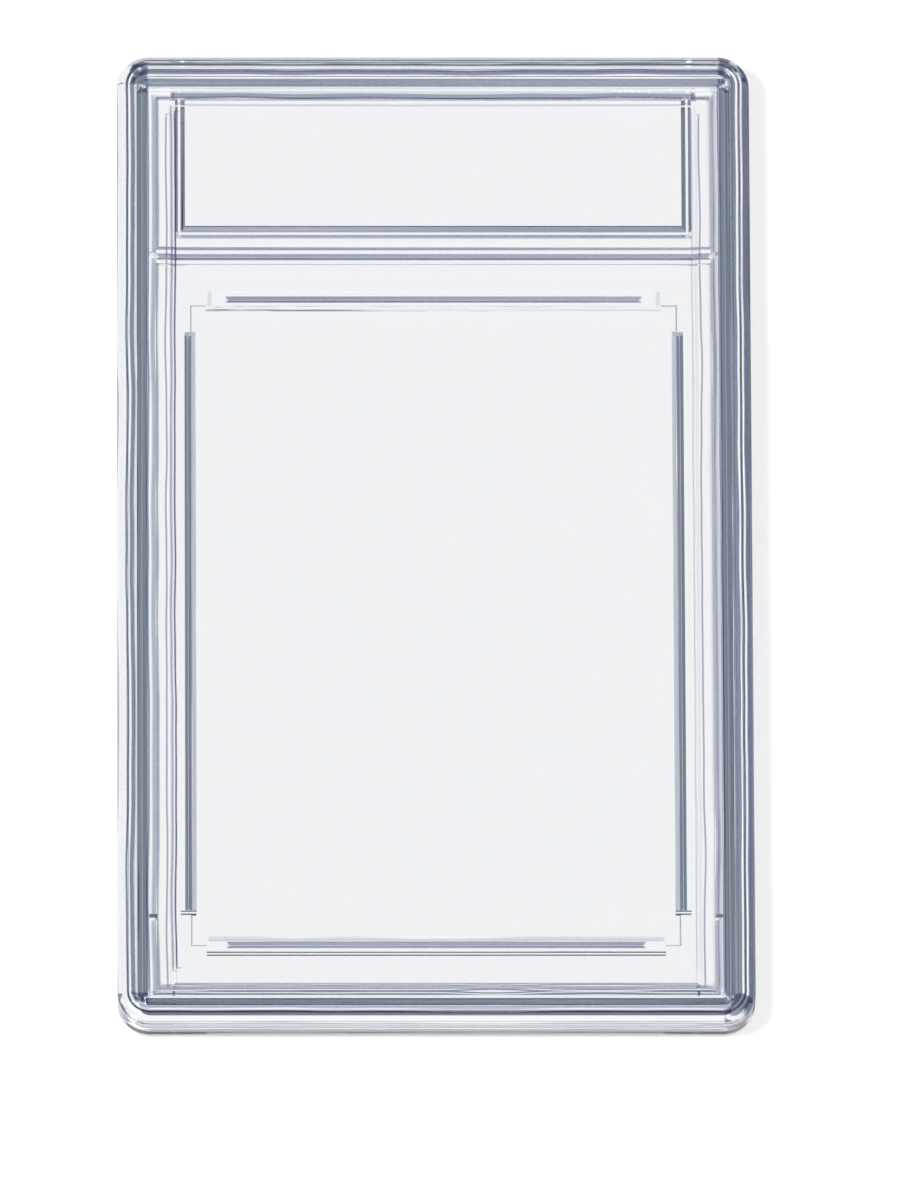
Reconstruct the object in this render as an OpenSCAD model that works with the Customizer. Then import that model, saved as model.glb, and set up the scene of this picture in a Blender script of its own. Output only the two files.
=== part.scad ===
// Clear snap-together display case for one standard trading card, with a label window above it.
// The closed case lies on its back: X runs across it, Y runs up to the label end, Z comes out of the front.
// It is two moulded shells: a tongue round the back tray sits in a groove round the front cover.

/* [Case] */
// Width of the closed case
case_w = 83.6; // [82:0.2:96]
// Height of the closed case
case_h = 135.4; // [133:0.2:150]
// Thickness of the closed case
case_t = 6.4; // [6.2:0.1:8]
// Radius of the four outer corners
corner_r = 4.3; // [4.2:0.1:6]

/* [Rim] */
// Rounding of the outer edges, front and back
edge_r = 1.2; // [0.4:0.1:1.6]
// Width of the raised rim round the front
rim_w = 2.3; // [2:0.1:2.4]
// Rounding of the inner edge of the raised rim
rim_r = 0.3; // [0.1:0.05:0.35]
// Outer edge of the case to the line cut along the top of the rim
line_in = 1.35; // [1.3:0.05:1.6]
// Width of that line
line_w = 0.3; // [0.1:0.05:0.3]
// Depth of that line
line_depth = 0.6; // [0.2:0.1:0.7]
// Step from the raised rim down to the flat frame
rim_step = 0.4; // [0.36:0.02:0.6]
// Width of the front frame along the two long sides
side_frame = 7; // [6.6:0.1:8]
// Width of the front frame along the two short ends
end_frame = 5; // [5:0.1:5.6]

/* [Back tray] */
// Height of the parting line above the back face
part_z = 2.4; // [2.1:0.1:2.6]
// Thickness of the back window
back_wall = 1.6; // [1.3:0.1:1.8]
// How far the back window lies inside the back face
back_recess = 0.4; // [0.2:0.1:0.5]
// Width of the raised band round the back face
back_band = 7.2; // [6.6:0.1:7.6]

/* [Front cover] */
// Thickness of the front window
front_wall = 1.6; // [1.3:0.1:1.8]
// Step from the flat frame down to the front window
front_recess = 0.7; // [0.4:0.1:0.8]
// Thickness of the wall inside the groove
inner_wall = 1; // [0.8:0.1:1]
// Gap between that wall and the back window
foot_gap = 0.2; // [0.1:0.05:0.3]

/* [Tongue and groove] */
// Outer edge of the case to the tongue
tongue_in = 2.55; // [2.5:0.05:2.65]
// Thickness of the tongue
tongue_w = 1.5; // [1.3:0.05:1.6]
// Height of the tongue above the parting line
tongue_h = 1.8; // [1.5:0.1:2]
// Clearance on each side of the tongue
joint_gap = 0.12; // [0.1:0.01:0.15]
// Clearance over the top of the tongue
tip_gap = 0.15; // [0.1:0.05:0.3]
// Height of the snap bead on the tongue
bead_h = 0.08; // [0.04:0.01:0.08]
// Length of the flex slots in the wall inside the groove
slot_w = 0.9; // [0.5:0.1:1.5]
// Lower edge of the card well to the lower flex slots
slot_rise = 3.2; // [2.4:0.1:6]

/* [Card well] */
// Width of the card
card_w = 63.5; // [61:0.5:64]
// Height of the card
card_h = 88.9; // [86:0.1:89.5]
// Play round the edges of the card
card_play = 0.25; // [0.1:0.05:0.3]
// Outer edge of the case at its foot to the card well
card_foot = 11.9; // [11.2:0.1:12.6]
// Depth of the card well in the back window
well_depth = 0.3; // [0.2:0.05:0.4]

/* [Rails] */
// Slot left for the thickness of the card
card_slot = 0.6; // [0.5:0.05:0.8]
// Length of the two side rails
side_rail = 81; // [70:1:84]
// Length of the two end rails
end_rail = 55; // [45:1:56]
// How far the foot of an end rail runs past its ridge, at each end
end_foot = 2.6; // [1:0.1:3]
// Width of the foot of each rail
foot_w = 2.1; // [1.8:0.1:2.2]
// Width of the pointed ridge on each front rail
ridge_w = 0.9; // [0.6:0.1:0.9]
// Blunt tip left on every pointed ridge
ridge_tip = 0.06; // [0.04:0.02:0.2]

/* [Label window] */
// Upper edge of the card well to the cross bar
bar_rise = 5.3; // [4:0.1:5.6]
// Width of the cross bar
bar_w = 2.4; // [2:0.1:3]
// Cross bar to the ring round the label
ring_rise = 1.5; // [1:0.1:2]
// Gap between the sides of the window and the ring
ring_side = 0.5; // [0.3:0.1:1.5]
// Width of the ring
ring_w = 1.5; // [1:0.1:1.8]
// Flat left along the foot of the ring
ring_flat = 0.3; // [0.1:0.1:0.5]
// Space left between the ring and the pocket for the label
label_play = 1; // [0.6:0.1:1.6]
// Depth of the label pocket in the back window
label_depth = 0.3; // [0.2:0.05:0.4]

/* [Hidden] */
round_fn = 64;
far = 2 * case_h;
over = 1;
half_w = case_w / 2;
half_h = case_h / 2;
floor_z = back_recess + back_wall;
frame_z = case_t - rim_step;
window_z = frame_z - front_recess;
ceiling_z = window_z - front_wall;
card_z = (floor_z + ceiling_z) / 2;
foot_z = floor_z + foot_gap;
groove_out = tongue_in - joint_gap;
groove_in = tongue_in + tongue_w + joint_gap;
wall_in = groove_in + inner_wall;
bead_z = part_z + tongue_h / 3;
well_w = card_w + 2 * card_play;
well_h = card_h + 2 * card_play;
well_y = card_foot - half_h + well_h / 2;
rail_x = (well_w + ridge_w) / 2;
rail_y = (well_h + ridge_w) / 2;
bar_y0 = well_y + well_h / 2 + bar_rise;
bar_y1 = bar_y0 + bar_w;
ring_x = half_w - side_frame - ring_side;
ring_y0 = bar_y1 + ring_rise;
ring_y1 = half_h - wall_in + ring_w;
pocket_in = ring_w + label_play;
slot_y = [well_y - well_h / 2 + slot_rise, (bar_y0 + bar_y1) / 2];

// Sweeps a profile round the outline of the case. The profile's x is the distance in from the
// outer edge and its y is the height. It reaches in to the corner radius at most.
module around() {
    run_x = half_w - corner_r;
    run_y = half_h - corner_r;
    for (sx = [0, 1], sy = [0, 1])
        mirror([sx, 0, 0]) mirror([0, sy, 0]) {
            translate([run_x, run_y, 0])
                rotate_extrude(angle = 90, $fn = round_fn) intersection() {
                    translate([corner_r, 0]) mirror([1, 0]) children();
                    square([corner_r, case_t]);
                }
            translate([half_w, run_y, 0]) rotate([90, 0, 0])
                linear_extrude(run_y) mirror([1, 0]) children();
            translate([0, half_h, 0]) rotate([90, 0, 90])
                linear_extrude(run_x) mirror([1, 0]) children();
        }
}

// A block given by its lowest and highest corners
module block(x0, y0, z0, x1, y1, z1) {
    translate([x0, y0, z0]) cube([x1 - x0, y1 - y0, z1 - z0]);
}

// A block over the middle of the case, the same distance in from all its outer edges
module core(inset, z0, z1) {
    block(inset - half_w, inset - half_h, z0, half_w - inset, half_h - inset, z1);
}

// A block round the middle of x and y, w by h at the height z0, whose sides lean in by slope up to z1
module leaning(y, w, h, z0, z1, slope) {
    translate([0, y, 0]) intersection() {
        rotate([90, 0, 0]) linear_extrude(far, center = true)
            polygon([[-w / 2, z0], [w / 2, z0], [w / 2 - slope, z1], [slope - w / 2, z1]]);
        rotate([90, 0, 90]) linear_extrude(far, center = true)
            polygon([[-h / 2, z0], [h / 2, z0], [h / 2 - slope, z1], [slope - h / 2, z1]]);
    }
}

// A square-pointed ridge that hangs from z0, with a blunt tip and hipped ends
module ridge(y, length, width, z0) {
    drop = (width - ridge_tip) / 2;
    leaning(y, length, width, z0, z0 - drop, drop);
}

// Outline of the tongue, whose top holds a square V, grown by gap at the sides and tip_grow above.
// Grown, it is the groove, and the V is the ridge that hangs in it.
module tongue_profile(gap, tip_grow) {
    side = tongue_w / 2 + gap;
    half_v = tongue_w / 2 - ridge_tip;
    blunt = ridge_tip / 2;
    tip_z = part_z + tongue_h + tip_grow;
    valley_z = tip_z - half_v + blunt;
    translate([tongue_in + tongue_w / 2, 0])
        polygon([
            [-side, floor_z], [-side, tip_z], [-half_v, tip_z], [-blunt, valley_z],
            [blunt, valley_z], [half_v, tip_z], [side, tip_z], [side, floor_z]
        ]);
}

// Section of the snap bead, and of its seat, on an upright face at the distance x from the edge
module bead_profile(x) {
    polygon([[x, bead_z - 2 * bead_h], [x - bead_h, bead_z], [x, bead_z + 2 * bead_h]]);
}

// The places of the four rails: its first child is a side rail, its second an end rail
module at_rails() {
    for (side = [-1, 1]) {
        translate([side * rail_x, well_y, 0]) rotate(90) children(0);
        translate([0, well_y + side * rail_y, 0]) children(1);
    }
}

// The flat foot of a rail, between two heights
module rail_foot(length, z0, z1) {
    block(-length / 2, -foot_w / 2, z0, length / 2, foot_w / 2, z1);
}

// The tray: rounded edge, tongue, window, card well, label pocket and rail feet
module back_tray() {
    well_z = floor_z - well_depth;
    color([0.8, 0.86, 0.93, 0.55]) {
        difference() {
            union() {
                around() back_profile();
                core(corner_r, 0, floor_z);
            }
            leaning(
                0, case_w - 2 * back_band + 2 * over, case_h - 2 * end_frame + 2 * over,
                -over, back_recess, back_recess + over
            );
            block(-well_w / 2, well_y - well_h / 2, well_z, well_w / 2, well_y + well_h / 2, case_t);
            block(
                pocket_in - ring_x, ring_y0 + pocket_in, floor_z - label_depth,
                ring_x - pocket_in, ring_y1 - pocket_in, case_t
            );
        }
        at_rails() {
            rail_foot(side_rail, well_z, card_z - card_slot / 2);
            rail_foot(end_rail + 2 * end_foot, well_z, card_z - card_slot / 2);
        }
    }
}

module back_profile() {
    translate([edge_r, edge_r]) circle(r = edge_r, $fn = round_fn);
    translate([0, edge_r]) square([tongue_in, part_z - edge_r]);
    translate([edge_r, 0]) square([tongue_in - edge_r, part_z]);
    translate([edge_r, 0]) square([corner_r - edge_r, floor_z]);
    tongue_profile(0, 0);
    bead_profile(tongue_in);
}

// The cover: rounded rim with its line, groove, window, ring round the label, cross bar and rails
module front_cover() {
    color([0.93, 0.96, 1, 0.45]) {
        difference() {
            union() {
                around() front_profile();
                core(corner_r, ceiling_z, frame_z);
                difference() {
                    core(corner_r, foot_z, ceiling_z);
                    core(wall_in, 0, case_t);
                }
            }
            leaning(
                0, case_w - 2 * (side_frame + front_recess), case_h - 2 * (end_frame + front_recess),
                window_z, frame_z + over, -front_recess - over
            );
            flex_slots();
        }
        label_ring();
        cross_bar();
        at_rails() {
            front_rail(side_rail, side_rail);
            front_rail(end_rail, end_rail + 2 * end_foot);
        }
    }
}

module front_profile() {
    difference() {
        union() {
            rim_profile();
            translate([rim_w, part_z]) square([corner_r - rim_w, frame_z - part_z]);
        }
        tongue_profile(joint_gap, tip_gap);
        bead_profile(groove_out);
        translate([line_in, case_t])
            polygon([
                [0, -line_depth], [line_w / 2, 0], [line_w / 2, over],
                [-line_w / 2, over], [-line_w / 2, 0]
            ]);
    }
    translate([groove_in, foot_z]) square([corner_r - groove_in, ceiling_z - foot_z]);
}

module rim_profile() {
    translate([edge_r, case_t - edge_r]) circle(r = edge_r, $fn = round_fn);
    translate([rim_w - rim_r, case_t - rim_r]) circle(r = rim_r, $fn = round_fn);
    translate([0, part_z]) square([rim_w, case_t - edge_r - part_z]);
    translate([edge_r, part_z]) square([rim_w - edge_r, case_t - rim_r - part_z]);
    translate([edge_r, part_z]) square([rim_w - rim_r - edge_r, case_t - part_z]);
}

// Slots through the wall inside the groove, which let the long sides spring
module flex_slots() {
    for (side = [-1, 1], y = slot_y)
        translate([side * (half_w - (groove_in + wall_in) / 2), y, (floor_z + ceiling_z) / 2])
            cube([inner_wall + joint_gap, slot_w, ceiling_z - floor_z], center = true);
}

// The two sides and the foot of the ring. Its top is the wall inside the groove, which its sides run into.
module label_ring() {
    drop = (ring_w - ring_flat) / 2;
    y = (ring_y0 + ring_y1) / 2;
    w = 2 * ring_x;
    h = ring_y1 - ring_y0;
    intersection() {
        difference() {
            union() {
                leaning(y, w, h, ceiling_z, foot_z + drop, 0);
                leaning(y, w, h, foot_z + drop, foot_z, drop);
            }
            leaning(y, w - 2 * ring_w, h - 2 * ring_w, case_t, 0, 0);
            leaning(y, w - 2 * ring_w, h - 2 * ring_w, foot_z + drop, foot_z - over, -drop - over);
        }
        core(wall_in - inner_wall / 2, 0, case_t);
    }
}

module cross_bar() {
    y = (bar_y0 + bar_y1) / 2;
    block(wall_in - half_w, bar_y0, card_z, half_w - wall_in, bar_y1, ceiling_z);
    ridge(y, case_w - 2 * wall_in, ridge_w, card_z);
}

module front_rail(length, foot_length) {
    z = card_z + card_slot / 2;
    rail_foot(foot_length, z, ceiling_z);
    ridge(0, length, ridge_w, z);
}

back_tray();
front_cover();
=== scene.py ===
import math

import bmesh
import bpy
from mathutils import Matrix, Vector


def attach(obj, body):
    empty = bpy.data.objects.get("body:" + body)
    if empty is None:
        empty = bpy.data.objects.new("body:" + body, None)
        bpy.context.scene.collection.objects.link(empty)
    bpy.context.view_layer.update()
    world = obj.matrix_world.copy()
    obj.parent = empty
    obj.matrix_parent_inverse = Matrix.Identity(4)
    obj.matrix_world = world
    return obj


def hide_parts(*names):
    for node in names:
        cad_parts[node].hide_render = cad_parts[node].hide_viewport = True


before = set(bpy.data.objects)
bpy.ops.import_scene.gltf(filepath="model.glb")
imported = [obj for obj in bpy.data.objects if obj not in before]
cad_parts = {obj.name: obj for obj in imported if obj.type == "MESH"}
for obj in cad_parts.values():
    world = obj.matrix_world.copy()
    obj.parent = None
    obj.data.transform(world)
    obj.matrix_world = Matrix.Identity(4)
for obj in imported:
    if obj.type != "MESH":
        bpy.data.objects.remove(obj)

# The closed case lies on its back at the origin. Sizes in the dictionaries are in millimetres.
mm = 0.001
weld, tiny = 1e-6, 1e-7               # vertices this near, in metres, become one or count as level
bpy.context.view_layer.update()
scene = bpy.context.scene
scene.view_settings.view_transform = "Standard"
scene.cycles.max_bounces = scene.cycles.transmission_bounces = 32
scene.cycles.glossy_bounces = 24      # rays are thrown to and fro many times inside the walls


# Sizes that both shells share
case = {
    "width": 83.6, "height": 135.4, "thick": 6.4, "corner": 4.3,
    "edge": 1.2,                  # rounding of the outer edges
    "part": 2.4,                  # height of the parting line
    "floor": 2.0,                 # top of the back window
    "ceiling": 3.7,               # underside of the front window
    "well": (64.0, 89.4, -11.1),  # the card's well: width, height, and its middle up the case
    "sideRail": (81, 81),         # lengths of a rail's pointed ridge, and of its foot
    "endRail": (55, 60.2),
    "ridgeW": 0.9, "footW": 2.1,  # how wide they are
    "tongueIn": 2.55, "tongueW": 1.5,     # in from the edge, and width
    "tongueTop": 4.2, "grooveTop": 4.35,  # heights
    "valley": (0.69, 0.68, 0.01),  # half width, depth and half floor of the V in the tongue
    "bead": (3.0, 0.08),          # height of the snap bead, and how far it stands out
    "softEdge": 0.07,             # rounding of the edges at the parting line
    "run": 0.3,                   # flat kept before and after a step in a panel
    "bite": 0.4,                  # how far an added shape runs into the wall that carries it
    "cornerSteps": 20,            # faces round a corner of the outline
    "arcSteps": 8,                # faces round a quarter turn of a rounded edge
    "easeFrom": 25, "sharpFrom": 28,  # degrees from which an edge is eased, and shaded as sharp
    "slopes": (0.6, 0.8),         # upright share of the normal on the slopes of a ridge
}
halfW, halfH = case["width"] / 2, case["height"] / 2


# Camera
print("camera")
photo = {
    "tilt": 20,          # degrees off straight down, towards the foot of the case
    "turn": -0.7,        # degrees round the case
    "distance": 4500,
    "aim": (2.04, -6.72, 0),  # the place in the middle of the frame
    "tall": 158,         # what the long side of the frame takes in
    "sensor": 36,
    "farthest": 100,     # metres that the camera sees
}


def makeCamera(given):
    tilt, turn = math.radians(given["tilt"]), math.radians(given["turn"])
    back = Vector((math.sin(turn), -math.sin(tilt) * math.cos(turn), math.cos(tilt))).normalized()
    up = back.cross(Vector((1, 0, 0))).normalized()
    right = up.cross(back)
    camera = bpy.data.objects.new("camera", bpy.data.cameras.new("camera"))
    scene.collection.objects.link(camera)
    place = Matrix((right, up, back)).transposed().to_4x4()
    place.translation = (Vector(given["aim"]) + back * given["distance"]) * mm
    camera.matrix_world = place
    camera.data.sensor_width = given["sensor"]
    camera.data.lens = given["sensor"] * given["distance"] / given["tall"]
    camera.data.clip_end = given["farthest"]
    scene.camera = camera


makeCamera(photo)


# Shader maths: a Wire is one output of a node, with the operators that are used on values
class Wire:
    def __init__(self, shader, socket):
        self.shader, self.socket = shader, socket

    def maths(self, operation, *values):
        return self.shader.node("ShaderNodeMath", {"operation": operation}, dict(enumerate(values)))

    def __add__(self, other):
        return self.maths("ADD", self, other)

    def __sub__(self, other):
        return self.maths("SUBTRACT", self, other)

    def __rsub__(self, other):
        return self.maths("SUBTRACT", other, self)

    def __mul__(self, other):
        return self.maths("MULTIPLY", self, other)

    def __truediv__(self, other):
        return self.maths("DIVIDE", self, other)

    __radd__, __rmul__ = __add__, __mul__

    def clamped(self):
        return self.maths("MINIMUM", self.maths("MAXIMUM", self, 0), 1)

    def vector(self, operation, other=None, output=0):
        values = {0: self} if other is None else {0: self, 1: other}
        return self.shader.node("ShaderNodeVectorMath", {"operation": operation}, values, output)

    def along(self, axis):
        return self.shader.node("ShaderNodeSeparateXYZ", None, {0: self}, "XYZ".index(axis))

    # 0 up to the first value and 1 from the second on, in a smooth curve
    def rising(self, start, end):
        return self.shader.node(
            "ShaderNodeMapRange", {"interpolation_type": "SMOOTHSTEP"},
            {"Value": self, "From Min": start, "From Max": end},
        )

    # 1 between two values, and 0 outside them
    def between(self, low, high, soft):
        return self.rising(low - soft, low + soft) * (1 - self.rising(high - soft, high + soft))


class Shader:
    def __init__(self, owner):
        owner.use_nodes = True
        self.tree = owner.node_tree
        self.tree.nodes.clear()

    # Adds a node: its settings first, a ramp's stops among them, then its sockets' values or links
    def node(self, kind, settings=None, sockets=None, output=0):
        made = self.tree.nodes.new(kind)
        for name, value in (settings or {}).items():
            if name == "stops":
                for spot, (place, colour) in zip(self.spots(made, len(value)), value):
                    spot.position, spot.color = place, colour
            else:
                setattr(made, name, value)
        for name, value in (sockets or {}).items():
            if isinstance(value, Wire):
                self.tree.links.new(value.socket, made.inputs[name])
            else:
                made.inputs[name].default_value = value
        return Wire(self, made.outputs[output]) if made.outputs else None

    def mixed(self, share, first, second):
        sockets = {0: share, 6: first, 7: second}
        return self.node("ShaderNodeMix", {"data_type": "RGBA"}, sockets, output=2)

    def spots(self, ramp, count):
        elements = ramp.color_ramp.elements
        while len(elements) < count:
            elements.new(1)
        return elements


# How far in from the outline of the case a place lies, in millimetres
def insetOf(place):
    run = ((halfW - case["corner"]) * mm, (halfH - case["corner"]) * mm, 0)
    past = place.vector("MULTIPLY", (1, 1, 0)).vector("ABSOLUTE").vector("SUBTRACT", run)
    arc = past.vector("MAXIMUM", (0, 0, 0)).vector("LENGTH", output=1)
    straight = past.maths("MINIMUM", past.maths("MAXIMUM", past.along("X"), past.along("Y")), 0)
    return (case["corner"] * mm - arc - straight) / mm


# Floor, room and lamp
print("stage")
studio = {
    "floorSize": 8000,
    "floorGap": 0.02,             # between the case and the floor, so that no faces coincide
    "sheet": (118, 175),          # the white of the sheet fades out between these distances
    "sheetColour": (1, 1, 1, 1),
    "roomColour": (0.15, 0.18, 0.23, 1),
    "lightSide": (0.24, 0.28, 0.34, 1),
    "turnsLight": (-0.1, 0.1),    # where the room goes over to its light side, from left to right
    "endColour": (0.7, 0.72, 0.76, 1),
    "ends": (0.45, 0.8),          # where the room turns lighter towards the head and the foot
    "softbox": (-0.6, 0.05, 0.05),  # light overhead: from and to along the case, and how soft
    "boxRise": (0.5, 0.6),        # how far up it starts, and is full
    "boxColour": (0.95, 0.96, 0.98, 1),
    "shade": 0.27,                # share of the floor's light that a shadow takes away
    "shadeColour": (0.11, 0.135, 0.17, 1),
    "contact": (0.1, 0.4, 0.1),   # contact shadow: in from the edge from and to, and how soft
    "contactShare": 0.2,
    "under": [                    # shade under the rim: along an axis from and to, and its share
        ("X", 41.75, 42.4, 1), ("Y", -65.15, -64.7, 0.85),
    ],
    "underSoft": 0.06,
    "underStop": 3,               # how far from the corners that shade stops
    "keyPlace": (-330, -60, 760),
    "keySize": 170,
    "keyPower": 9,
}


def makeFloor(given):
    bm = bmesh.new()
    bmesh.ops.create_grid(bm, x_segments=1, y_segments=1, size=given["floorSize"] / 2 * mm)
    mesh = bpy.data.meshes.new("floor")
    bm.to_mesh(mesh)
    bm.free()
    floor = bpy.data.objects.new("floor", mesh)
    floor.location.z = -given["floorGap"] * mm
    scene.collection.objects.link(floor)
    paper = bpy.data.materials.new("studioSheet")
    shader = Shader(paper)
    place = shader.node("ShaderNodeTexCoord", output="Object")
    near, far = (edge * mm for edge in given["sheet"])
    seen = shader.node("ShaderNodeLightPath", output="Is Camera Ray")
    fade = ((place.vector("LENGTH", output=1) - near) / (far - near)).clamped() * (1 - seen)
    dark = insetOf(place).between(*given["contact"]) * given["contactShare"]
    seenThrough = shader.node("ShaderNodeLightPath", output="Is Transmission Ray")
    seenGloss = shader.node("ShaderNodeLightPath", output="Is Glossy Ray")
    soft = given["underSoft"] * mm
    for axis, low, high, strong in given["under"]:
        other, reach = ("Y", halfH) if axis == "X" else ("X", halfW)
        reach -= given["underStop"]
        run = place.along(other).between(-reach * mm, reach * mm, mm) * (seenThrough + seenGloss)
        strip = place.along(axis).between(low * mm, high * mm, soft) * run * strong
        dark = dark.maths("MAXIMUM", dark, strip)
    sheet = shader.mixed(dark, given["sheetColour"], given["shadeColour"])
    colour = shader.mixed(fade, sheet, given["roomColour"])
    glow = shader.node("ShaderNodeEmission", None, {"Color": colour})
    matt = shader.node("ShaderNodeBsdfDiffuse", None, {"Color": colour})
    share = (seen * (1 - given["shade"]) + seenGloss + seenThrough).clamped()
    mixed = shader.node("ShaderNodeMixShader", None, {0: share, 1: matt, 2: glow})
    shader.node("ShaderNodeOutputMaterial", None, {0: mixed})
    mesh.materials.append(paper)


def makeRoom(given):
    room = bpy.data.worlds.new("room")
    scene.world = room
    shader = Shader(room)
    way = shader.node("ShaderNodeTexCoord", output="Generated")
    across, along, up = (way.along(axis) for axis in "XYZ")
    colour = shader.mixed(across.rising(*given["turnsLight"]), given["roomColour"], given["lightSide"])
    ends = along.maths("ABSOLUTE", along).rising(*given["ends"])
    colour = shader.mixed(ends, colour, given["endColour"])
    box = along.between(*given["softbox"]) * up.rising(*given["boxRise"])
    colour = shader.mixed(box, colour, given["boxColour"])
    seen = shader.node("ShaderNodeLightPath", output="Is Camera Ray")
    colour = shader.mixed(seen, colour, given["sheetColour"])
    light = shader.node("ShaderNodeBackground", None, {"Color": colour})
    shader.node("ShaderNodeOutputWorld", None, {0: light})


def makeLamp(name, place, size, power):
    light = bpy.data.lights.new(name, "AREA")
    light.size, light.energy = size * mm, power
    lamp = bpy.data.objects.new(name, light)
    scene.collection.objects.link(lamp)
    lamp.location = Vector(place) * mm
    lamp.rotation_euler = (-lamp.location).to_track_quat("-Z", "Y").to_euler()


makeFloor(studio)
makeRoom(studio)
makeLamp("keyLamp", studio["keyPlace"], studio["keySize"], studio["keyPower"])


# Clear moulded plastic
print("material")
plastic = {
    "colour": (0.988, 0.994, 1.0),
    "smoke": (0.04, 0.052, 0.1),  # colour of painted shade, for the dark of the room that the edges gather
    # Where painted shade lies, for the dark that the edges show, more on the right and at the head, away
    # from the lamp:
    # heights from and to, weights on the left, right, head and foot, and stops of (in from the edge,
    # share of painted shade).
    # The end of railFoot is the inner side of the foot's rail.
    "layers": {
        "rimEdge": (5.0, 6.5, (0.6, 2, 1.2, 0.2), [(0, 1), (0.09, 1), (0.13, 0)]),
        "topEdge": (5.0, 6.5, (0, 0, 1, 0), [(0.1, 0), (0.18, 0.32), (0.8, 0.27), (0.87, 0)]),
        "rimLine": (5.0, 6.5, (1, 1.1, 0.6, 1), [(1.2, 0), (1.26, 1), (1.44, 1), (1.5, 0)]),
        "shadeSide": (4.0, 6.5, (0, 1.15, 0, 0), [(0, 1), (0.85, 0.9), (0.97, 0)]),
        "rimStep": (5.0, 6.5, (1, 1, 0.1, 0.5), [(1.76, 0), (1.83, 0.83), (2.28, 0.76), (2.36, 0)]),
        "rightStep": (5.0, 6.5, (0, 1, 0, 0), [(2.28, 0), (2.34, 0.6), (2.62, 0.6), (2.7, 0)]),
        "bandLine": (5.9, 6.5, (1, 1, 0, 0), [(3.92, 0), (3.98, 0.6), (4.2, 0.6), (4.26, 0)]),
        "rightBand": (5.9, 6.5, (0, 1, 0, 0), [(4.26, 0), (4.36, 0.22), (4.86, 0.27), (4.94, 0)]),
        "rimInside": (5.9, 6.5, (0, 0, 1, 0), [(2.08, 0), (2.16, 0.76), (2.62, 0.76), (2.7, 0)]),
        "windowStep": (5.0, 6.5, (1.2, 0.15, 0, 0), [
            (7.0, 0), (7.1, 0.4), (7.3, 0.4), (7.4, 0), (7.55, 0), (7.6, 1), (7.74, 1), (7.8, 0),
        ]),
        "windowTop": (5.25, 5.9, (0, 0, 1, 0), [
            (5.25, 0), (5.3, 0.55), (5.6, 0.55), (5.65, 1), (5.77, 1), (5.81, 0),
        ]),
        "ceiling": (3.5, 3.8, (1, 0.2, 1, 0), [(5.05, 0), (5.12, 0.62), (5.4, 0.53), (5.6, 0)]),
        "ceilingEnd": (3.5, 3.8, (0, 0, 0, 1), [(4.95, 0), (5.02, 0.5), (5.6, 0.45), (5.7, 0)]),
        "foot": (2.1, 2.3, (1, 1, 0.3, 0), [(4.5, 0), (4.75, 0.45), (5.15, 0.45), (5.2, 0)]),
        "footEnd": (2.1, 2.3, (0, 0, 0, 1), [
            (4.54, 0), (4.6, 0.9), (4.84, 0.9), (4.9, 0), (5.0, 0), (5.04, 1), (5.17, 1), (5.2, 0),
        ]),
        "railFoot": (3.12, 3.18, (1, 1, 0, 1.5), [
            (9.78, 0), (9.82, 0.4), (10.4, 0.3), (10.5, 0),
            (11.88, 0), (11.92, 0.15), (12.4, 0.11), (12.5, 0),
        ]),
        "back": (-0.1, 0.38, (1, 1, 0, 0), [
            (6.4, 0), (6.45, 0.6), (6.6, 0.6), (6.65, 0), (7.15, 0), (7.2, 0.35), (7.4, 0.35), (7.5, 0),
        ]),
        "sill": (0.1, 1.3, (1, 1, 0, 0.3), [(0, 0.27), (0.15, 0.27), (0.25, 0)]),
    },
    "rampReach": 15,              # distance in from the edge that a ramp covers
    "wander": (60, 0.75),         # waves to the metre in the layers, and their reach
    "levelSoft": 0.01,            # how soft a layer is where its heights start and end
    "sideSoft": 1,                # how soft it is where its sides meet
    "ridgeLevel": (2.2, 4.14, 0.02),  # heights of painted shade on the marked ridges: from and to, and how soft
    "wellLine": (0, 0.13, 0.03),  # line of painted shade round the card's well: out from it from and to, and how soft
    "wellShare": 0.5,
    "wellReach": 0.05,            # how far that line goes above and below the window
    "patches": (420, 0.8),        # patches of painted shade in the corners: to the metre, and their share
    "patchFrom": (0.5, 0.56),     # value of the noise where a patch starts, and where it is full
    "patchLevel": (5, 6.5),       # heights of the patches
    "patchSoft": 0.5,             # how softly they start at the corners
    "streaks": (2200, 16),        # streaks to the metre across the ridges and along them
    "streakShare": 1.2,           # how much they change the painted shade
    "streakSoft": 0.1,            # how soft they are where they turn, and where a marked face starts
    "ior": 1.49,
    "roughness": (0.0, 0.012),
    "flow": 42,                   # haze patches to the metre
    "ripples": (126, 0.02),       # ripples that moulding leaves: to the metre, and their depth
}
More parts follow.
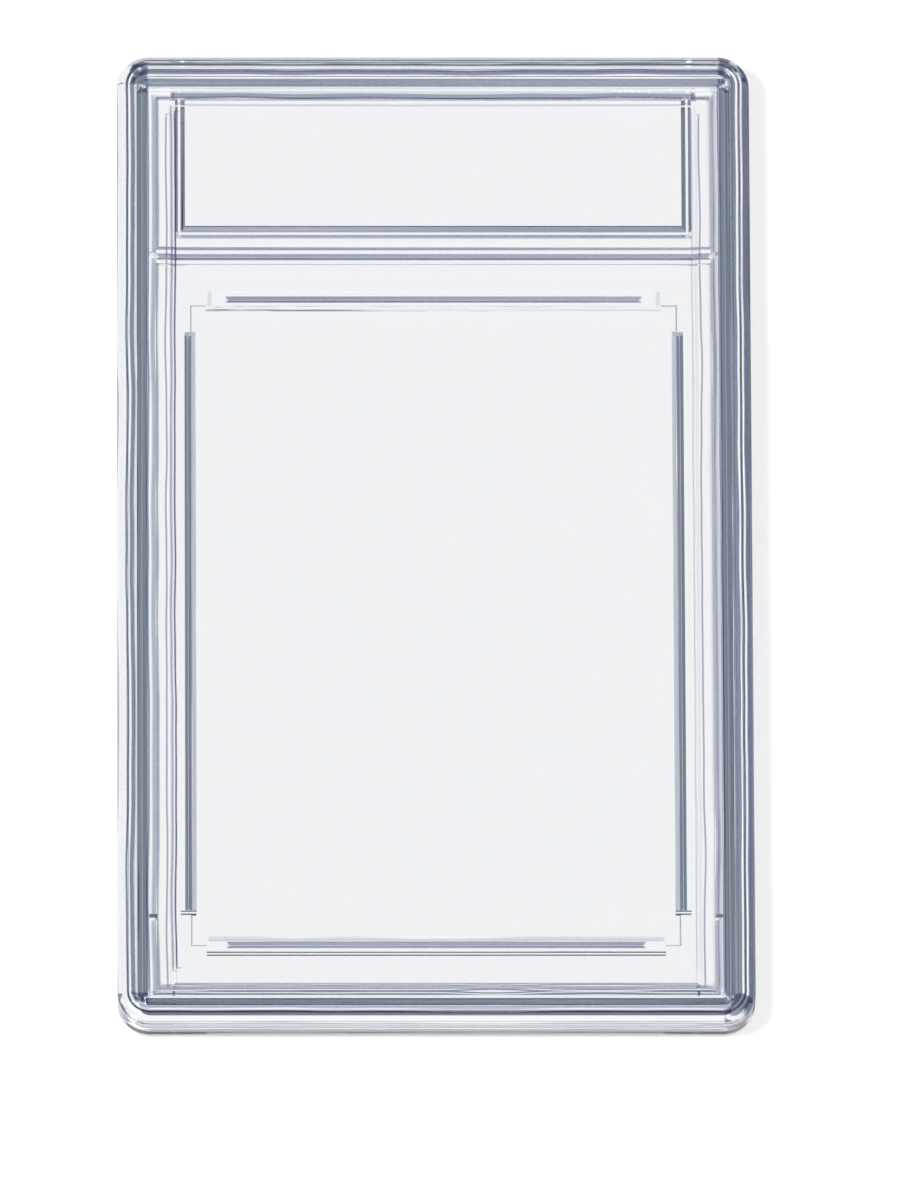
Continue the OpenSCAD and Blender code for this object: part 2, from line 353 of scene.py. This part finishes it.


# Share of painted shade: on the marked ridges, the layers and the edge of the card's well, and in the
# corners
def paintedShadeOn(shader, place, marked, streaks, given):
    waves, sway = given["wander"]
    wave = shader.node("ShaderNodeTexNoise", None, {"Vector": place, "Scale": waves, "Detail": 1})
    inset = insetOf(place) + (wave - 0.5) * sway
    spot = place.vector("DIVIDE", (mm, mm, mm))
    z, size = spot.along("Z"), spot.vector("ABSOLUTE")
    soft, blend, longer = given["levelSoft"], given["sideSoft"], halfH - halfW
    atRight = spot.along("X").rising(-blend, blend)
    atEnd = (size.along("Y") - size.along("X")).rising(longer - blend, longer + blend)
    atHead = atEnd * spot.along("Y").rising(-blend, blend)
    smoke = marked * z.between(*given["ridgeLevel"]) * ((streaks - 0.5) * given["streakShare"] + 1)
    reach = given["rampReach"]
    for low, high, (left, right, head, foot), stops in given["layers"].values():
        stops = [(d / reach, (share, share, share, 1)) for d, share in stops]
        ramp = shader.node("ShaderNodeValToRGB", {"stops": stops}, {0: inset / reach})
        sides = atRight * (right - left) + left
        weight = atHead * (head - foot) + atEnd * foot + (1 - atEnd) * sides
        smoke = smoke + ramp * z.between(low, high, soft) * weight
    w, h, middle = case["well"]
    past = spot.vector("SUBTRACT", (0, middle, 0)).vector("ABSOLUTE")
    past = past.vector("SUBTRACT", (w / 2, h / 2, 0))
    outside = past.maths("MAXIMUM", past.along("X"), past.along("Y"))
    onFloor = z.between(case["floor"] - given["wellReach"], case["floor"] + given["wellReach"], soft)
    smoke = smoke + outside.between(*given["wellLine"]) * onFloor * given["wellShare"]
    patches, share = given["patches"]
    patch = shader.node("ShaderNodeTexNoise", None, {"Vector": place, "Scale": patches, "Detail": 2})
    patch = patch.rising(*given["patchFrom"]) * z.between(*given["patchLevel"], soft) * share
    for axis, half in (("X", halfW), ("Y", halfH)):
        start = half - case["corner"]
        patch = patch * size.along(axis).rising(start, start + given["patchSoft"])
    smoke = smoke + patch
    return smoke.maths("MAXIMUM", smoke, 0)


# Fine drawn lines that run along each ridge, as bumps and as changes in its painted shade
def streaksOn(shader, place, given):
    facing = shader.node("ShaderNodeTexCoord", output="Normal").vector("ABSOLUTE")
    soft = given["streakSoft"]
    atEnd = (facing.along("Y") - facing.along("X")).rising(-soft, soft)
    across, along = given["streaks"]
    drawn = shader.node("ShaderNodeCombineXYZ", None, {
        0: place.along("X") * (atEnd * (along - across) + across),
        1: place.along("Y") * (atEnd * (across - along) + along),
    })
    return shader.node("ShaderNodeTexNoise", None, {"Vector": drawn, "Scale": 1, "Detail": 2})


def makePlastic(given):
    material = bpy.data.materials.new("clearPlastic")
    shader = Shader(material)
    place = shader.node("ShaderNodeTexCoord", output="Object")
    haze = shader.node(
        "ShaderNodeTexNoise", None, {"Vector": place, "Scale": given["flow"], "Detail": 4}
    )
    smooth, dull = given["roughness"]
    rough = haze * haze * (dull - smooth) + smooth
    ripples, depth = given["ripples"]
    ripple = shader.node("ShaderNodeTexNoise", None, {"Vector": place, "Scale": ripples, "Detail": 1})
    marked = shader.node("ShaderNodeAttribute", {"attribute_name": "smoke"}, output="Fac")
    streaks = streaksOn(shader, place, given)
    height = ripple + streaks * marked.rising(0, given["streakSoft"])
    normal = shader.node(
        "ShaderNodeBump", None, {"Strength": 1, "Distance": depth * mm, "Height": height}
    )
    # Painted shade: the colour darkens towards the painted shade colour where the edges show the dark of
    # the room
    smoke = paintedShadeOn(shader, place, marked, streaks, given)
    smoke = shader.node("ShaderNodeCombineXYZ", None, {0: smoke, 1: smoke, 2: smoke})
    colour = shader.node(
        "ShaderNodeVectorMath", {"operation": "POWER"}, {0: given["smoke"], 1: smoke}
    )
    surface = shader.node("ShaderNodeBsdfPrincipled", None, {
        "Base Color": colour.vector("MULTIPLY", given["colour"]),
        "IOR": given["ior"], "Transmission Weight": 1,
        "Roughness": rough, "Normal": normal,
    })
    shader.node("ShaderNodeOutputMaterial", None, {0: surface})
    return material


clearPlastic = makePlastic(plastic)


# Shapes that both shells share

# A line of (in from the edge, height, radius) points with each corner rounded to its radius
def rounded(points):
    line = []
    for index, (d, z, radius) in enumerate(points):
        here = Vector((d, z))
        if not radius or index in (0, len(points) - 1):
            line.append(here)
            continue
        before = (Vector(points[index - 1][:2]) - here).normalized()
        after = (Vector(points[index + 1][:2]) - here).normalized()
        half = before.angle(after) / 2
        centre = here + (before + after).normalized() * (radius / math.sin(half))
        start, end = (here + way * (radius / math.tan(half)) - centre for way in (before, after))
        turn = start.angle_signed(end)
        steps = max(2, round(case["arcSteps"] * abs(turn) / (math.pi / 2)))
        for step in range(steps + 1):
            line.append(centre + Matrix.Rotation(-turn * step / steps, 2) @ start)
    return line


# Sweeps a line round a quarter of the outline, and mirrors it twice
def sweepRound(bm, line):
    verts = [bm.verts.new(((halfW - p.x) * mm, 0, p.y * mm)) for p in line]
    edges = [bm.edges.new(pair) for pair in zip(verts, verts[1:])]
    edges = extruded(bm, edges, move=(0, (halfH - case["corner"]) * mm, 0))
    turned = bmesh.ops.spin(
        bm, geom=edges + list({v for e in edges for v in e.verts}), axis=(0, 0, 1), angle=math.pi / 2,
        cent=((halfW - case["corner"]) * mm, (halfH - case["corner"]) * mm, 0),
        steps=case["cornerSteps"],
    )["geom_last"]
    edges = [part for part in turned if isinstance(part, bmesh.types.BMEdge)]
    extruded(bm, edges, move=(-(halfW - case["corner"]) * mm, 0, 0))
    for axis in "XY":
        bmesh.ops.mirror(bm, geom=bm.verts[:] + bm.edges[:] + bm.faces[:], axis=axis, merge_dist=tiny)
    bmesh.ops.remove_doubles(bm, verts=bm.verts[:], dist=weld)


def extruded(bm, edges, move):
    new = bmesh.ops.extrude_edge_only(bm, edges=edges)["geom"]
    verts = {part for part in new if isinstance(part, bmesh.types.BMVert)}
    bmesh.ops.translate(bm, verts=list(verts), vec=move)
    return [e for e in bm.edges if e.verts[0] in verts and e.verts[1] in verts]


# Carries a rectangular loop on through (width, height, z) steps round the middle y
def stepped(bm, edges, size, steps, y=0):
    for w, h, z in steps:
        new = bmesh.ops.extrude_edge_only(bm, edges=edges)["geom"]
        verts = {part for part in new if isinstance(part, bmesh.types.BMVert)}
        bmesh.ops.scale(
            bm, verts=list(verts), vec=(w / size[0], h / size[1], 1),
            space=Matrix.Translation((0, -y * mm, 0)),
        )
        for vert in verts:
            vert.co.z = z * mm
        edges = [e for e in bm.edges if e.verts[0] in verts and e.verts[1] in verts]
        size = (w, h)
    return edges


def openLoop(bm, z):
    return [e for e in bm.edges if e.is_boundary and all(abs(v.co.z - z * mm) < tiny for v in e.verts)]


# The panel inside the sweep: a line of (further in, height, radius) points from given insets
def panel(bm, z, insets, points):
    start = case["corner"]
    steps = [
        (case["width"] - 2 * (insets[0] + p.x), case["height"] - 2 * (insets[1] + p.x), p.y)
        for p in rounded(points)
    ]
    size = (case["width"] - 2 * start, case["height"] - 2 * start)
    edges = stepped(bm, openLoop(bm, z), size, steps)
    bmesh.ops.contextual_create(bm, geom=edges)


def rectangle(bm, w, h, z, y=0):
    made = bmesh.ops.create_grid(bm, x_segments=1, y_segments=1, size=0.5)["verts"]
    bmesh.ops.scale(bm, verts=made, vec=(w * mm, h * mm, 1))
    bmesh.ops.translate(bm, verts=made, vec=(0, y * mm, z * mm))
    return made


# A solid through (width, height, z) steps round the middle y, with its edges eased
def tower(steps, y=0, ease=0, turned=False, shift=(0, 0)):
    bm = bmesh.new()
    made = rectangle(bm, *steps[0], y)
    edges = list({e for v in made for e in v.link_edges})
    edges = stepped(bm, edges, steps[0][:2], steps[1:], y)
    bmesh.ops.contextual_create(bm, geom=edges)
    if turned:
        bmesh.ops.rotate(bm, verts=bm.verts[:], matrix=Matrix.Rotation(math.pi / 2, 3, "Z"))
    bmesh.ops.translate(bm, verts=bm.verts[:], vec=(shift[0] * mm, shift[1] * mm, 0))
    return finished(bm, ease)


# A frame whose outline goes through the outer steps, then back through the inner ones, cut off at an end
def ring(outer, inner, y, end, ease=0):
    bm = bmesh.new()
    made = rectangle(bm, *outer[0], y)
    bmesh.ops.delete(bm, geom=bm.faces[:], context="FACES_ONLY")
    first = list({e for v in made for e in v.link_edges})
    last = stepped(bm, first, outer[0][:2], outer[1:] + inner, y)
    bmesh.ops.bridge_loops(bm, edges=first + last)
    bmesh.ops.bisect_plane(
        bm, geom=bm.verts[:] + bm.edges[:] + bm.faces[:],
        plane_co=(0, end * mm, 0), plane_no=(0, 1, 0), clear_outer=True,
    )
    bmesh.ops.holes_fill(bm, edges=[e for e in bm.edges if e.is_boundary])
    return finished(bm, ease)


def finished(bm, ease=0):
    bmesh.ops.remove_doubles(bm, verts=bm.verts[:], dist=weld)
    bmesh.ops.recalc_face_normals(bm, faces=bm.faces[:])
    if ease:
        least = math.radians(case["easeFrom"])
        sharp = [e for e in bm.edges if e.is_manifold and e.calc_face_angle() > least]
        bmesh.ops.bevel(
            bm, geom=sharp, offset=ease * mm, affect="EDGES", segments=2, profile=0.5, material=-1
        )
    mesh = bpy.data.meshes.new("shape")
    bm.to_mesh(mesh)
    bm.free()
    made = bpy.data.objects.new("shape", mesh)
    scene.collection.objects.link(made)
    return made


# The rails round the card's well: lengths of the ridge and the foot, turned along the case or not, place
def rails():
    w, h, middle = case["well"]
    out = case["ridgeW"] / 2
    for sign in (-1, 1):
        yield case["sideRail"], True, (sign * (w / 2 + out), middle)
        yield case["endRail"], False, (0, middle + sign * (h / 2 + out))


# Marks the ridges' slopes, which lie at about 45 degrees, with their share of painted shade
def markRidges(mesh, ridges):
    smoke = mesh.attributes.new("smoke", "FLOAT", "FACE")
    least, most = case["slopes"]
    for face in mesh.polygons:
        if least < abs(face.normal.z) < most:
            for low, high, headShare, footShare, sideShare in ridges:
                if low * mm < face.center.z < high * mm:
                    endShare = headShare if face.center.y > 0 else footShare
                    ends = abs(face.normal.y) > abs(face.normal.x)
                    smoke.data[face.index].value = endShare if ends else sideShare


# Joins or cuts the shapes, in order, and smooths what is left
def carve(shell, name, body, work, ridges=()):
    for operation, shape in work:
        change = shell.modifiers.new("carve", "BOOLEAN")
        change.operation, change.solver, change.object = operation, "EXACT", shape
    mesh = bpy.data.meshes.new_from_object(shell.evaluated_get(bpy.context.evaluated_depsgraph_get()))
    for shape in [shell] + [shape for operation, shape in work]:
        bpy.data.objects.remove(shape)
    bm = bmesh.new()
    bm.from_mesh(mesh)
    bmesh.ops.remove_doubles(bm, verts=bm.verts[:], dist=2 * tiny)
    bmesh.ops.dissolve_degenerate(bm, edges=bm.edges[:], dist=tiny)
    bmesh.ops.triangulate(bm, faces=[f for f in bm.faces if len(f.verts) > 4])
    print(name, "faces", len(bm.faces), "open edges", sum(not e.is_manifold for e in bm.edges))
    bm.to_mesh(mesh)
    bm.free()
    mesh.name = name
    markRidges(mesh, ridges)
    mesh.polygons.foreach_set("use_smooth", [True] * len(mesh.polygons))
    mesh.set_sharp_from_angle(angle=math.radians(case["sharpFrom"]))
    piece = bpy.data.objects.new(name, mesh)
    scene.collection.objects.link(piece)
    even = piece.modifiers.new("even", "WEIGHTED_NORMAL")
    even.keep_sharp = True
    mesh.materials.clear()
    mesh.materials.append(clearPlastic)
    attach(piece, body)
    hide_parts(body)
    return piece


tray = {
    "recess": 0.4, "band": (7.2, 5.0),  # how deep the back is set in, and the band round it
    "cutFrom": 5,                 # cuts into the window start well above it
    "wellFloor": 1.7, "wellSlope": 0.1,    # height of its floor, and how much narrower that is
    "pocket": (63.6, 17.1, 53.85),         # the label's pocket, given as the well is
    "pocketFloor": 1.7, "pocketSlope": 2,
    "footRoot": 1.2, "footTop": 2.55, "footEase": 0.06,  # heights of the rails' feet, and their edges
}


def makeTray(given):
    soft, edge, run = case["softEdge"], case["edge"], case["run"]
    side, top = case["tongueIn"], case["tongueTop"]
    middle, far = side + case["tongueW"] / 2, side + case["tongueW"]
    halfV, deepV, flatV = case["valley"]
    beadZ, beadOut = case["bead"]
    line = rounded([
        (case["corner"], 0, 0), (0, 0, edge), (0, case["part"], soft), (side, case["part"], 0),
        (side, beadZ - 2 * beadOut, 0), (side - beadOut, beadZ, 0), (side, beadZ + 2 * beadOut, 0),
        (side, top, 0), (middle - halfV, top, 0), (middle - flatV, top - deepV, 0),
        (middle + flatV, top - deepV, 0), (middle + halfV, top, 0), (far, top, 0),
        (far, case["floor"], 0.1), (case["corner"], case["floor"], 0),
    ])
    bm = bmesh.new()
    sweepRound(bm, line)
    rise = given["recess"]
    panel(bm, 0, given["band"], [(-run, 0, 0), (0, 0, 0.1), (rise, rise, 0.1), (rise + run, rise, 0)])
    bmesh.ops.contextual_create(bm, geom=openLoop(bm, case["floor"]))
    shell = finished(bm)
    work = []
    for (w, h, y), low, lean in (
        (case["well"], given["wellFloor"], given["wellSlope"]),
        (given["pocket"], given["pocketFloor"], given["pocketSlope"]),
    ):
        steps = [(w, h, given["cutFrom"]), (w, h, case["floor"]), (w - lean, h - lean, low)]
        work.append(("DIFFERENCE", tower(steps, y)))
    for (ridge, foot), turned, shift in rails():
        block = [(foot, case["footW"], z) for z in (given["footRoot"], given["footTop"])]
        work.append(("UNION", tower(block, 0, given["footEase"], turned, shift)))
    return carve(shell, "rearShell", "back_tray", work)


cover = {
    "slack": 0.005,               # gap left at the parting line, and between two roundings
    "frame": 6.0, "window": 5.3,  # heights of the frame in the rim, and of the window in the frame
    "frameW": (7.0, 5.0),         # where the frame ends, in from the edge at the sides and at the ends
    "rimW": 2.3, "rimEdge": 0.3,
    "lineIn": 1.35, "lineW": 0.3, "lineDepth": 0.6,  # the line along the rim
    "grooveIn": 4.17, "grooveOut": 2.43,  # its inner and outer sides, in from the edge
    "foot": 2.2, "wallIn": 5.17, "wallRun": 0.2,  # the wall inside the groove
    "slot": (1.12, 0.9),          # flex slots: size across and along the case
    "slotX": 37.13, "slotY": (-52.6, 40.1), "slotFrom": 1,
    "ring": (34.3, 42.8, 64.03),  # half width, and from and to along the case
    "ringW": 1.5, "ringFlat": 0.3, "ringEnd": 63.03, "ringEase": 0.04,
    "bar": (38.9, 41.3), "barZ": 2.85, "barEdge": 0.25,
    "barOver": (0.4, 0.3, 0.2),   # how much longer than the opening its steps are
    "railZ": 3.15, "ridgeIn": 0.02, "tip": 0.02, "ridgeEase": 0.01,
    # Painted shade on the ridges' slopes: heights from and to, shares at the head, the foot and the
    # sides
    "ridges": [(2.2, 3.16, 0.6, 0.7, 0.1), (3.5, 4.4, 0.8, 1.15, 0.1)],
}


def makeCover(given):
    soft, edge, thick, run = case["softEdge"], case["edge"], case["thick"], case["run"]
    part, bite = case["part"] + given["slack"], case["bite"]
    inner, outer, top = given["grooveIn"], given["grooveOut"], case["grooveTop"]
    middle = (inner + outer) / 2
    halfV, deepV, flatV = case["valley"]
    beadZ, beadOut = case["bead"]
    cut, cutW = given["lineIn"], given["lineW"] / 2
    line = rounded([
        (case["corner"], given["foot"], 0), (inner, given["foot"], 0.05), (inner, top, 0.04),
        (middle + halfV, top, 0), (middle + flatV, top - deepV, 0), (middle - flatV, top - deepV, 0),
        (middle - halfV, top, 0), (outer, top, 0.04),
        (outer, beadZ + 2 * beadOut, 0), (outer - beadOut, beadZ, 0), (outer, beadZ - 2 * beadOut, 0),
        (outer, part, soft), (0, part, soft), (0, thick - edge, 0),
    ])
    line += rounded([(0, thick - edge, 0), (0, thick, edge - given["slack"]), (cut, thick, 0)])[1:-1]
    line += rounded([
        (cut - cutW, thick, 0), (cut, thick - given["lineDepth"], 0.03), (cut + cutW, thick, 0.04),
        (given["rimW"], thick, given["rimEdge"]), (given["rimW"], given["frame"], 0.08),
        (case["corner"], given["frame"], 0),
    ])
    bm = bmesh.new()
    sweepRound(bm, line)
    drop = given["frame"] - given["window"]
    panel(bm, given["frame"], given["frameW"], [
        (-run, given["frame"], 0), (0, given["frame"], 0.12), (drop, given["window"], 0.1),
        (drop + run, given["window"], 0),
    ])
    wall, foot, ceiling = given["wallIn"], given["foot"], case["ceiling"]
    panel(bm, foot, (0, 0), [
        (wall - given["wallRun"], foot, 0), (wall, foot, 0.05),
        (wall, ceiling, 0.15), (wall + bite, ceiling, 0),
    ])
    shell = finished(bm)
    work = []
    slotW, slotH = given["slot"]
    for sign in (-1, 1):
        for y in given["slotY"]:
            block = [(slotW, slotH, z) for z in (given["slotFrom"], ceiling)]
            work.append(("DIFFERENCE", tower(block, shift=(sign * given["slotX"], y))))
    x, low, high = given["ring"]
    w, h, wide, flat = 2 * x, high - low, given["ringW"], given["ringFlat"]
    drop = (wide - flat) / 2
    outerSteps = [(w, h, ceiling + bite), (w, h, foot + drop), (w - 2 * drop, h - 2 * drop, foot)]
    innerSteps = [
        (w - 2 * (drop + flat), h - 2 * (drop + flat), foot),
        (w - 2 * wide, h - 2 * wide, foot + drop), (w - 2 * wide, h - 2 * wide, ceiling + bite),
    ]
    middle = (low + high) / 2
    work.append(("UNION", ring(outerSteps, innerSteps, middle, given["ringEnd"], given["ringEase"])))
    (low, high), barZ, chamfer = given["bar"], given["barZ"], given["barEdge"]
    ridgeW, tip, ease = case["ridgeW"], given["tip"], given["ridgeEase"]
    drop = (ridgeW - tip) / 2
    span, deep = case["width"] - 2 * wall, high - low
    long, longish, short = (span + over for over in given["barOver"])
    work.append(("UNION", tower([
        (long, deep, ceiling + bite), (long, deep, barZ + chamfer),
        (longish, deep - 2 * chamfer, barZ), (short, ridgeW, barZ), (span - 2 * drop, tip, barZ - drop),
    ], (low + high) / 2, ease)))
    railZ, footW = given["railZ"], case["footW"]
    for (ridge, root), turned, shift in rails():
        steps = [
            (root, footW, ceiling + bite), (root, footW, railZ),
            (ridge - given["ridgeIn"], ridgeW, railZ), (ridge - 2 * drop, tip, railZ - drop),
        ]
        work.append(("UNION", tower(steps, 0, ease, turned, shift)))
    return carve(shell, "frontShell", "front_cover", work, given["ridges"])


print("shells")
makeTray(tray)
makeCover(cover)
